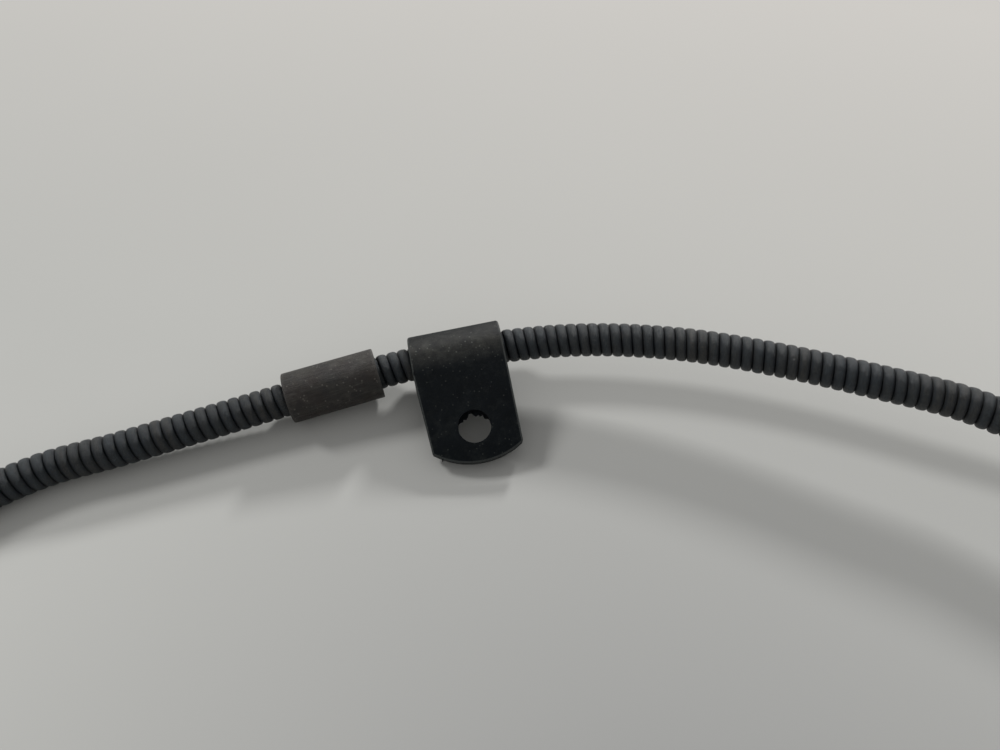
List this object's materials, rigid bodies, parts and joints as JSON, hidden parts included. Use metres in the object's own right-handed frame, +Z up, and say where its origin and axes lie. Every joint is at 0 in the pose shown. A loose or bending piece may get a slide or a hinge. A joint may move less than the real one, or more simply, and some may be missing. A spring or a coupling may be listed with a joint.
{
  "type": "parking brake cable",
  "caption": "Parking brake cable: spiral-wound steel conduit in a free loop with a crimped sleeve, a folded bolt-on clip, a threaded stud end and a sprung button end.",
  "frame": {"origin": "centre of the bounding box's base, on the surface the cable lies on", "axes": "+X along the loop's long axis, towards the rear end's side; +Z up; the bolted clip lies on +Y"},
  "size_m": [0.328, 0.144, 0.0226],
  "materials": {
    "painted_wire": "blue-black paint, satin, worn and dusty between the turns",
    "sleeve_steel": "dull grey-brown, mottled",
    "clip_steel": "blue-black paint, satin, with pale dust specks",
    "strand_steel": "bare laid wire",
    "fitting_steel": "dull zinc, turned",
    "plated_steel": "zinc plated, slightly yellow",
    "spring_steel": "oil blackened",
    "black_rubber": "matt"
  },
  "bodies": {
    "casing": {"conduit": "painted_wire", "strand_core": "strand_steel", "crimp_sleeve": "sleeve_steel", "front_ferrule": "fitting_steel", "front_retaining_clip": "spring_steel", "front_seal": "black_rubber", "rear_ferrule": "fitting_steel", "finger_retainer": "spring_steel", "rear_seal": "black_rubber", "return_spring": "spring_steel"},
    "front_pull_end": {"strand_front": "strand_steel", "threaded_stud": "plated_steel", "stud_washer": "plated_steel", "adjusting_nut": "plated_steel", "lock_nut": "plated_steel"},
    "rear_return_end": {"strand_rear": "strand_steel", "spring_cup": "fitting_steel", "end_button": "fitting_steel"},
    "clip": {"support_clip": "clip_steel"}
  },
  "joints": [
    {"name": "front_pull", "type": "slide", "parent": "casing", "child": "front_pull_end", "axis": [-1, 0, 0], "range_m": [0, 0.012]},
    {"name": "rear_return", "type": "slide", "parent": "casing", "child": "rear_return_end", "axis": [1, 0, 0], "range_m": [-0.012, 0], "stiffness_N_per_m": 400, "deforming": ["return_spring"]},
    {"name": "clip_swing", "type": "hinge", "parent": "casing", "child": "clip", "pos_m": [-0.03458, 0.06362, 0.00939], "axis": [-0.9793, -0.1849, -0.0819], "continuous": true}
  ],
  "couplings": [
    {"joint": "rear_return", "follows": "front_pull", "ratio": -1}
  ]
}
